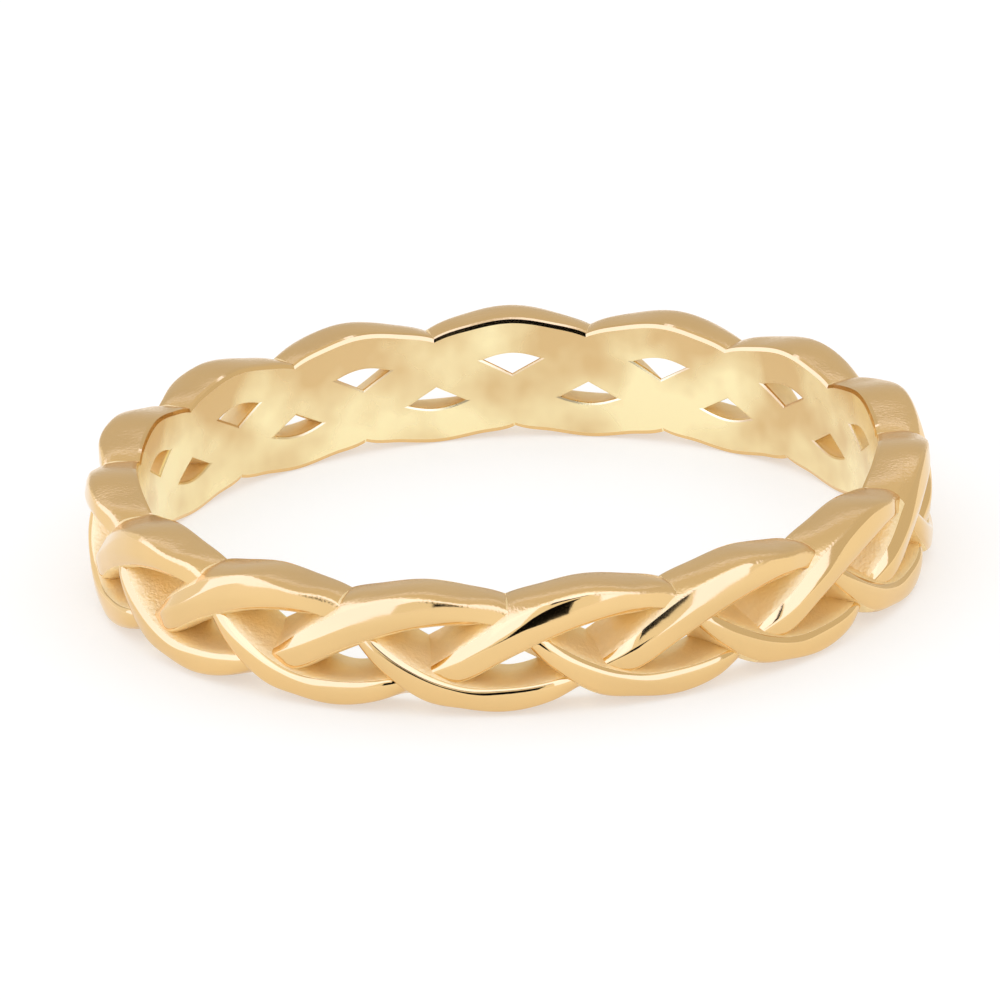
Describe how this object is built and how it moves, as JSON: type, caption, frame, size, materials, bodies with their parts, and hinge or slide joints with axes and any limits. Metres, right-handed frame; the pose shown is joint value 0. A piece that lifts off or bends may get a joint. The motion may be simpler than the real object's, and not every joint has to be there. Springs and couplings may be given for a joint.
{
  "type": "braided band ring",
  "caption": "Openwork finger ring cast as flattened strands plaited into an endless pierced band, with a smooth round finger hole and rounded lobes along both edges.",
  "frame": {"origin": "on the axis of the finger hole, in the plane of the lowest lobes, on which the ring lies", "axes": "+Z along the axis of the finger hole, up from the surface the ring lies on; -Y faces the viewer of the picture"},
  "size_m": [0.0198, 0.0198, 0.003],
  "materials": {
    "gold": "polished warm pale gold"
  },
  "bodies": {
    "root": {"braided_band": "gold"}
  },
  "joints": []
}
